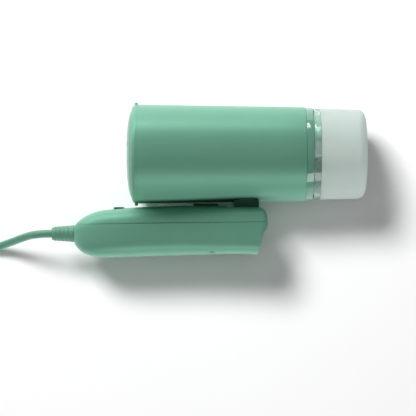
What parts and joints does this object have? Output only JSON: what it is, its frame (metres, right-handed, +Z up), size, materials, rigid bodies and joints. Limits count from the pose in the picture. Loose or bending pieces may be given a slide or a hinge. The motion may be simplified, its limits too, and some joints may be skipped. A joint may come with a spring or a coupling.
{
  "type": "handheld garment steamer",
  "caption": "Folding handheld garment steamer with a tapered round head, a removable water tank and a hinged handle, lying folded on its side with its mains cord coiled.",
  "frame": {"origin": "centre of the underside of the folded object's box as it lies on its side, without the cord, coil and plug", "axes": "+X along the head towards the water tank, +Y across the folded object from the handle to the head, +Z up from the table"},
  "size_m": [0.4148, 0.117, 0.0744],
  "materials": {
    "mint_shell": "satin moulded plastic",
    "mint_gloss": "polished moulded plastic",
    "dark_mint": "satin moulded plastic",
    "steam_plate": "satin coated metal",
    "tank_frosted": "frosted translucent plastic",
    "tank_clear": "clear translucent plastic",
    "steel": "zinc plated",
    "aluminium": "die cast",
    "brass": "turned",
    "copper": "enamelled wire",
    "rubber": "moulded rubber",
    "silicone": "translucent silicone",
    "cord": "matt flexible PVC",
    "black_plastic": "moulded plastic",
    "board": "solder mask",
    "wire": "insulated wire"
  },
  "bodies": {
    "handle": {"handle_back_shell": "mint_shell", "handle_front_cover": "mint_shell", "handle_screws": "steel", "hinge_pin": "steel", "hinge_clips": "steel", "hinge_washers": "silicone", "control_board": "board", "trigger_frame": "black_plastic", "microswitch": "black_plastic", "trigger_spring": "steel", "button_board": "board", "tact_switch": "black_plastic", "cord_clamp": "black_plastic", "clamp_screws": "steel", "terminal_block": "black_plastic", "handle_wiring": "wire", "strain_relief": "cord", "cord_inner": "cord", "cord_lead": "cord", "cord_coil": "cord", "cord_tail": "cord", "cord_tie": "rubber", "plug_body": "cord", "plug_pins": "steel"},
    "trigger": {"steam_trigger": "dark_mint"},
    "button": {"power_button": "dark_mint"},
    "head": {"head_shell": "mint_shell", "front_bezel": "mint_shell", "steam_plate": "steam_plate", "plate_gasket": "silicone", "steam_chamber": "aluminium", "chamber_lid": "aluminium", "heating_element": "steel", "chamber_screws": "steel", "thermostat": "brass", "thermal_fuse": "black_plastic", "heat_shield": "steel", "inner_tray": "black_plastic", "tray_screws": "steel", "pump_body": "black_plastic", "pump_coil": "copper", "pump_mounts": "rubber", "outlet_hose": "silicone", "inlet_hose": "silicone", "tank_dock": "dark_mint", "dock_seal": "rubber", "tank_collar": "mint_gloss", "hinge_bracket": "dark_mint", "bracket_screws": "steel", "pump_spring": "steel"},
    "piston": {"pump_piston": "steel"},
    "tank": {"tank_shell": "tank_frosted", "tank_neck": "tank_clear", "neck_seal": "rubber", "fill_stopper": "rubber", "pickup_hose": "silicone", "pickup_weight": "steel", "valve_spring": "steel"},
    "valve": {"valve_poppet": "brass"}
  },
  "joints": [
    {"name": "handle_fold", "type": "hinge", "parent": "handle", "child": "head", "pos_m": [0.0186, -0.0252, 0.0372], "axis": [0, 0, 1], "range_deg": [-90, 0]},
    {"name": "trigger_press", "type": "slide", "parent": "handle", "child": "trigger", "axis": [0, -1, 0], "range_m": [0, 0.002], "stiffness_N_per_m": 900, "springref_m": -0.002, "deforming": ["trigger_spring"]},
    {"name": "button_press", "type": "slide", "parent": "handle", "child": "button", "axis": [0, -1, 0], "range_m": [0, 0.0008], "stiffness_N_per_m": 1200, "springref_m": -0.0008},
    {"name": "tank_pull", "type": "slide", "parent": "head", "child": "tank", "axis": [1, 0, 0], "range_m": [0, 0.06]},
    {"name": "pump_stroke", "type": "slide", "parent": "head", "child": "piston", "axis": [-1, 0, 0], "range_m": [0, 0.0015], "stiffness_N_per_m": 1500, "springref_m": -0.001, "deforming": ["pump_spring"]},
    {"name": "valve_lift", "type": "slide", "parent": "tank", "child": "valve", "axis": [1, 0, 0], "range_m": [0, 0.0015], "stiffness_N_per_m": 300, "springref_m": -0.001, "deforming": ["valve_spring"]}
  ]
}
